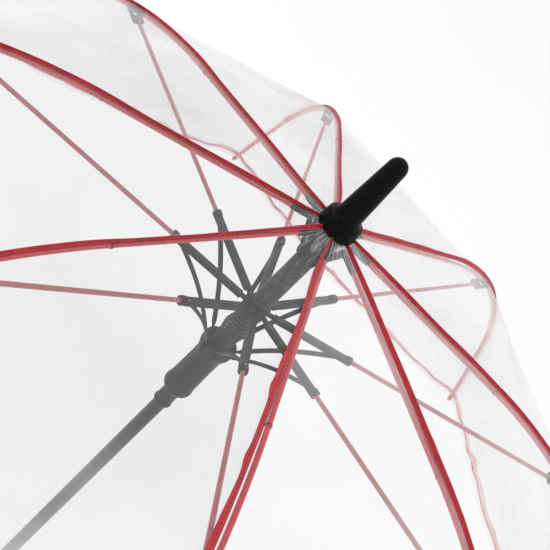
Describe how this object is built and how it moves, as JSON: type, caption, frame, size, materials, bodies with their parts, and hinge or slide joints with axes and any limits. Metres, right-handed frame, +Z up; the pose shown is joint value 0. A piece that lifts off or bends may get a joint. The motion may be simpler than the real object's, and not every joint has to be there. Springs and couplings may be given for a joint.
{
  "type": "clear dome umbrella",
  "caption": "Clear film dome umbrella, shown open, with red fibreglass ribs, a black push-button spring runner on a steel shaft, a tapered ferrule and a crook handle.",
  "frame": {"origin": "on the shaft axis, at the top face of the handle collar, where the bare shaft starts", "axes": "+Z up the shaft towards the ferrule; +X along rib 1 and along the opening of the crook; +Y along rib 3"},
  "size_m": [0.9102, 0.9102, 0.7641],
  "materials": {
    "black_steel": "satin black enamel",
    "black_plastic": "satin moulded",
    "red_fibreglass": "glossy pultruded rod",
    "clear_film": "clear glossy film",
    "spring_steel": "dark phosphated",
    "grip_rubber": "soft-touch matte"
  },
  "bodies": {
    "root": {"shaft": "black_steel", "top_notch": "black_plastic", "ferrule_cap": "black_plastic", "upper_spring": "spring_steel", "handle": "grip_rubber", "handle_collar": "black_plastic", "button_spring": "spring_steel"},
    "rib_1": {"rib_1": "red_fibreglass", "canopy_panel_1": "clear_film"},
    "rib_tip_1": {"rib_tip_1": "red_fibreglass"},
    "stretcher_1": {"stretcher_rod_1": "red_fibreglass", "stretcher_arm_1": "black_steel"},
    "link_1": {"link_wire_1": "black_steel"},
    "rib_2": {"rib_2": "red_fibreglass", "canopy_panel_2": "clear_film"},
    "rib_tip_2": {"rib_tip_2": "red_fibreglass"},
    "stretcher_2": {"stretcher_rod_2": "red_fibreglass", "stretcher_arm_2": "black_steel"},
    "link_2": {"link_wire_2": "black_steel"},
    "rib_3": {"rib_3": "red_fibreglass", "canopy_panel_3": "clear_film"},
    "rib_tip_3": {"rib_tip_3": "red_fibreglass"},
    "stretcher_3": {"stretcher_rod_3": "red_fibreglass", "stretcher_arm_3": "black_steel"},
    "link_3": {"link_wire_3": "black_steel"},
    "rib_4": {"rib_4": "red_fibreglass", "canopy_panel_4": "clear_film"},
    "rib_tip_4": {"rib_tip_4": "red_fibreglass"},
    "stretcher_4": {"stretcher_rod_4": "red_fibreglass", "stretcher_arm_4": "black_steel"},
    "link_4": {"link_wire_4": "black_steel"},
    "rib_5": {"rib_5": "red_fibreglass", "canopy_panel_5": "clear_film"},
    "rib_tip_5": {"rib_tip_5": "red_fibreglass"},
    "stretcher_5": {"stretcher_rod_5": "red_fibreglass", "stretcher_arm_5": "black_steel"},
    "link_5": {"link_wire_5": "black_steel"},
    "rib_6": {"rib_6": "red_fibreglass", "canopy_panel_6": "clear_film"},
    "rib_tip_6": {"rib_tip_6": "red_fibreglass"},
    "stretcher_6": {"stretcher_rod_6": "red_fibreglass", "stretcher_arm_6": "black_steel"},
    "link_6": {"link_wire_6": "black_steel"},
    "rib_7": {"rib_7": "red_fibreglass", "canopy_panel_7": "clear_film"},
    "rib_tip_7": {"rib_tip_7": "red_fibreglass"},
    "stretcher_7": {"stretcher_rod_7": "red_fibreglass", "stretcher_arm_7": "black_steel"},
    "link_7": {"link_wire_7": "black_steel"},
    "rib_8": {"rib_8": "red_fibreglass", "canopy_panel_8": "clear_film"},
    "rib_tip_8": {"rib_tip_8": "red_fibreglass"},
    "stretcher_8": {"stretcher_rod_8": "red_fibreglass", "stretcher_arm_8": "black_steel"},
    "link_8": {"link_wire_8": "black_steel"},
    "hub": {"stretcher_hub": "black_plastic", "main_spring": "spring_steel"},
    "runner": {"runner": "black_plastic"},
    "button": {"push_button": "black_plastic", "latch_plate": "spring_steel"}
  },
  "joints": [
    {"name": "fold", "type": "hinge", "parent": "root", "child": "rib_1", "pos_m": [0.007, 0, 0.5363], "axis": [0, 1, 0], "range_deg": [0, 81.2], "stiffness_Nm_per_rad": 0.25, "springref_deg": -114.59, "deforming": ["canopy_panel_1"]},
    {"name": "rib_fold_2", "type": "hinge", "parent": "root", "child": "rib_2", "pos_m": [0.00495, 0.00495, 0.5363], "axis": [-0.7071, 0.7071, 0], "range_deg": [0, 81.2], "stiffness_Nm_per_rad": 0.25, "springref_deg": -114.59, "deforming": ["canopy_panel_2"]},
    {"name": "rib_fold_3", "type": "hinge", "parent": "root", "child": "rib_3", "pos_m": [0, 0.007, 0.5363], "axis": [-1, 0, 0], "range_deg": [0, 81.2], "stiffness_Nm_per_rad": 0.25, "springref_deg": -114.59, "deforming": ["canopy_panel_3"]},
    {"name": "rib_fold_4", "type": "hinge", "parent": "root", "child": "rib_4", "pos_m": [-0.00495, 0.00495, 0.5363], "axis": [-0.7071, -0.7071, 0], "range_deg": [0, 81.2], "stiffness_Nm_per_rad": 0.25, "springref_deg": -114.59, "deforming": ["canopy_panel_4"]},
    {"name": "rib_fold_5", "type": "hinge", "parent": "root", "child": "rib_5", "pos_m": [-0.007, 0, 0.5363], "axis": [0, -1, 0], "range_deg": [0, 81.2], "stiffness_Nm_per_rad": 0.25, "springref_deg": -114.59, "deforming": ["canopy_panel_5"]},
    {"name": "rib_fold_6", "type": "hinge", "parent": "root", "child": "rib_6", "pos_m": [-0.00495, -0.00495, 0.5363], "axis": [0.7071, -0.7071, 0], "range_deg": [0, 81.2], "stiffness_Nm_per_rad": 0.25, "springref_deg": -114.59, "deforming": ["canopy_panel_6"]},
    {"name": "rib_fold_7", "type": "hinge", "parent": "root", "child": "rib_7", "pos_m": [0, -0.007, 0.5363], "axis": [1, 0, 0], "range_deg": [0, 81.2], "stiffness_Nm_per_rad": 0.25, "springref_deg": -114.59, "deforming": ["canopy_panel_7"]},
    {"name": "rib_fold_8", "type": "hinge", "parent": "root", "child": "rib_8", "pos_m": [0.00495, -0.00495, 0.5363], "axis": [0.7071, 0.7071, 0], "range_deg": [0, 81.2], "stiffness_Nm_per_rad": 0.25, "springref_deg": -114.59, "deforming": ["canopy_panel_8"]},
    {"name": "rib_flex_1", "type": "hinge", "parent": "rib_1", "child": "rib_tip_1", "pos_m": [0.2411, 0, 0.5087], "axis": [0, 1, 0], "range_deg": [-38, 0]},
    {"name": "stretcher_fold_1", "type": "hinge", "parent": "rib_1", "child": "stretcher_1", "pos_m": [0.2411, 0, 0.5087], "axis": [0, 1, 0], "range_deg": [-162.4, 0]},
    {"name": "link_fold_1", "type": "hinge", "parent": "stretcher_1", "child": "link_1", "pos_m": [0.0646, 0, 0.4879], "axis": [0, 1, 0], "range_deg": [0, 31.62]},
    {"name": "rib_flex_2", "type": "hinge", "parent": "rib_2", "child": "rib_tip_2", "pos_m": [0.17048, 0.17048, 0.5087], "axis": [-0.7071, 0.7071, 0], "range_deg": [-38, 0]},
    {"name": "stretcher_fold_2", "type": "hinge", "parent": "rib_2", "child": "stretcher_2", "pos_m": [0.17048, 0.17048, 0.5087], "axis": [-0.7071, 0.7071, 0], "range_deg": [-162.4, 0]},
    {"name": "link_fold_2", "type": "hinge", "parent": "stretcher_2", "child": "link_2", "pos_m": [0.04568, 0.04568, 0.4879], "axis": [-0.7071, 0.7071, 0], "range_deg": [0, 31.62]},
    {"name": "rib_flex_3", "type": "hinge", "parent": "rib_3", "child": "rib_tip_3", "pos_m": [0, 0.2411, 0.5087], "axis": [-1, 0, 0], "range_deg": [-38, 0]},
    {"name": "stretcher_fold_3", "type": "hinge", "parent": "rib_3", "child": "stretcher_3", "pos_m": [0, 0.2411, 0.5087], "axis": [-1, 0, 0], "range_deg": [-162.4, 0]},
    {"name": "link_fold_3", "type": "hinge", "parent": "stretcher_3", "child": "link_3", "pos_m": [0, 0.0646, 0.4879], "axis": [-1, 0, 0], "range_deg": [0, 31.62]},
    {"name": "rib_flex_4", "type": "hinge", "parent": "rib_4", "child": "rib_tip_4", "pos_m": [-0.17048, 0.17048, 0.5087], "axis": [-0.7071, -0.7071, 0], "range_deg": [-38, 0]},
    {"name": "stretcher_fold_4", "type": "hinge", "parent": "rib_4", "child": "stretcher_4", "pos_m": [-0.17048, 0.17048, 0.5087], "axis": [-0.7071, -0.7071, 0], "range_deg": [-162.4, 0]},
    {"name": "link_fold_4", "type": "hinge", "parent": "stretcher_4", "child": "link_4", "pos_m": [-0.04568, 0.04568, 0.4879], "axis": [-0.7071, -0.7071, 0], "range_deg": [0, 31.62]},
    {"name": "rib_flex_5", "type": "hinge", "parent": "rib_5", "child": "rib_tip_5", "pos_m": [-0.2411, 0, 0.5087], "axis": [0, -1, 0], "range_deg": [-38, 0]},
    {"name": "stretcher_fold_5", "type": "hinge", "parent": "rib_5", "child": "stretcher_5", "pos_m": [-0.2411, 0, 0.5087], "axis": [0, -1, 0], "range_deg": [-162.4, 0]},
    {"name": "link_fold_5", "type": "hinge", "parent": "stretcher_5", "child": "link_5", "pos_m": [-0.0646, 0, 0.4879], "axis": [0, -1, 0], "range_deg": [0, 31.62]},
    {"name": "rib_flex_6", "type": "hinge", "parent": "rib_6", "child": "rib_tip_6", "pos_m": [-0.17048, -0.17048, 0.5087], "axis": [0.7071, -0.7071, 0], "range_deg": [-38, 0]},
    {"name": "stretcher_fold_6", "type": "hinge", "parent": "rib_6", "child": "stretcher_6", "pos_m": [-0.17048, -0.17048, 0.5087], "axis": [0.7071, -0.7071, 0], "range_deg": [-162.4, 0]},
    {"name": "link_fold_6", "type": "hinge", "parent": "stretcher_6", "child": "link_6", "pos_m": [-0.04568, -0.04568, 0.4879], "axis": [0.7071, -0.7071, 0], "range_deg": [0, 31.62]},
    {"name": "rib_flex_7", "type": "hinge", "parent": "rib_7", "child": "rib_tip_7", "pos_m": [0, -0.2411, 0.5087], "axis": [1, 0, 0], "range_deg": [-38, 0]},
    {"name": "stretcher_fold_7", "type": "hinge", "parent": "rib_7", "child": "stretcher_7", "pos_m": [0, -0.2411, 0.5087], "axis": [1, 0, 0], "range_deg": [-162.4, 0]},
    {"name": "link_fold_7", "type": "hinge", "parent": "stretcher_7", "child": "link_7", "pos_m": [0, -0.0646, 0.4879], "axis": [1, 0, 0], "range_deg": [0, 31.62]},
    {"name": "rib_flex_8", "type": "hinge", "parent": "rib_8", "child": "rib_tip_8", "pos_m": [0.17048, -0.17048, 0.5087], "axis": [0.7071, 0.7071, 0], "range_deg": [-38, 0]},
    {"name": "stretcher_fold_8", "type": "hinge", "parent": "rib_8", "child": "stretcher_8", "pos_m": [0.17048, -0.17048, 0.5087], "axis": [0.7071, 0.7071, 0], "range_deg": [-162.4, 0]},
    {"name": "link_fold_8", "type": "hinge", "parent": "stretcher_8", "child": "link_8", "pos_m": [0.04568, -0.04568, 0.4879], "axis": [0.7071, 0.7071, 0], "range_deg": [0, 31.62]},
    {"name": "hub_level", "type": "hinge", "parent": "stretcher_1", "child": "hub", "pos_m": [0.007, 0, 0.48111], "axis": [0, 1, 0], "range_deg": [0, 81.2]},
    {"name": "runner_slide", "type": "slide", "parent": "hub", "child": "runner", "axis": [0, 0, 1], "range_m": [0, 0.02684], "deforming": ["main_spring"]},
    {"name": "button_press", "type": "slide", "parent": "root", "child": "button", "axis": [-1, 0, 0], "range_m": [0, 0.0015], "stiffness_N_per_m": 400, "springref_m": -0.002, "deforming": ["button_spring"]}
  ],
  "couplings": [
    {"joint": "rib_fold_2", "follows": "fold", "ratio": 1},
    {"joint": "rib_fold_3", "follows": "fold", "ratio": 1},
    {"joint": "rib_fold_4", "follows": "fold", "ratio": 1},
    {"joint": "rib_fold_5", "follows": "fold", "ratio": 1},
    {"joint": "rib_fold_6", "follows": "fold", "ratio": 1},
    {"joint": "rib_fold_7", "follows": "fold", "ratio": 1},
    {"joint": "rib_fold_8", "follows": "fold", "ratio": 1},
    {"joint": "rib_flex_1", "follows": "fold", "ratio": -0.46798},
    {"joint": "stretcher_fold_1", "follows": "fold", "ratio": -2},
    {"joint": "link_fold_1", "follows": "fold", "ratio": 0.38929},
    {"joint": "rib_flex_2", "follows": "fold", "ratio": -0.46798},
    {"joint": "stretcher_fold_2", "follows": "fold", "ratio": -2},
    {"joint": "link_fold_2", "follows": "fold", "ratio": 0.38929},
    {"joint": "rib_flex_3", "follows": "fold", "ratio": -0.46798},
    {"joint": "stretcher_fold_3", "follows": "fold", "ratio": -2},
    {"joint": "link_fold_3", "follows": "fold", "ratio": 0.38929},
    {"joint": "rib_flex_4", "follows": "fold", "ratio": -0.46798},
    {"joint": "stretcher_fold_4", "follows": "fold", "ratio": -2},
    {"joint": "link_fold_4", "follows": "fold", "ratio": 0.38929},
    {"joint": "rib_flex_5", "follows": "fold", "ratio": -0.46798},
    {"joint": "stretcher_fold_5", "follows": "fold", "ratio": -2},
    {"joint": "link_fold_5", "follows": "fold", "ratio": 0.38929},
    {"joint": "rib_flex_6", "follows": "fold", "ratio": -0.46798},
    {"joint": "stretcher_fold_6", "follows": "fold", "ratio": -2},
    {"joint": "link_fold_6", "follows": "fold", "ratio": 0.38929},
    {"joint": "rib_flex_7", "follows": "fold", "ratio": -0.46798},
    {"joint": "stretcher_fold_7", "follows": "fold", "ratio": -2},
    {"joint": "link_fold_7", "follows": "fold", "ratio": 0.38929},
    {"joint": "rib_flex_8", "follows": "fold", "ratio": -0.46798},
    {"joint": "stretcher_fold_8", "follows": "fold", "ratio": -2},
    {"joint": "link_fold_8", "follows": "fold", "ratio": 0.38929},
    {"joint": "hub_level", "follows": "fold", "ratio": 1},
    {"joint": "runner_slide", "follows": "fold", "m_per_rad": 0.018928}
  ]
}
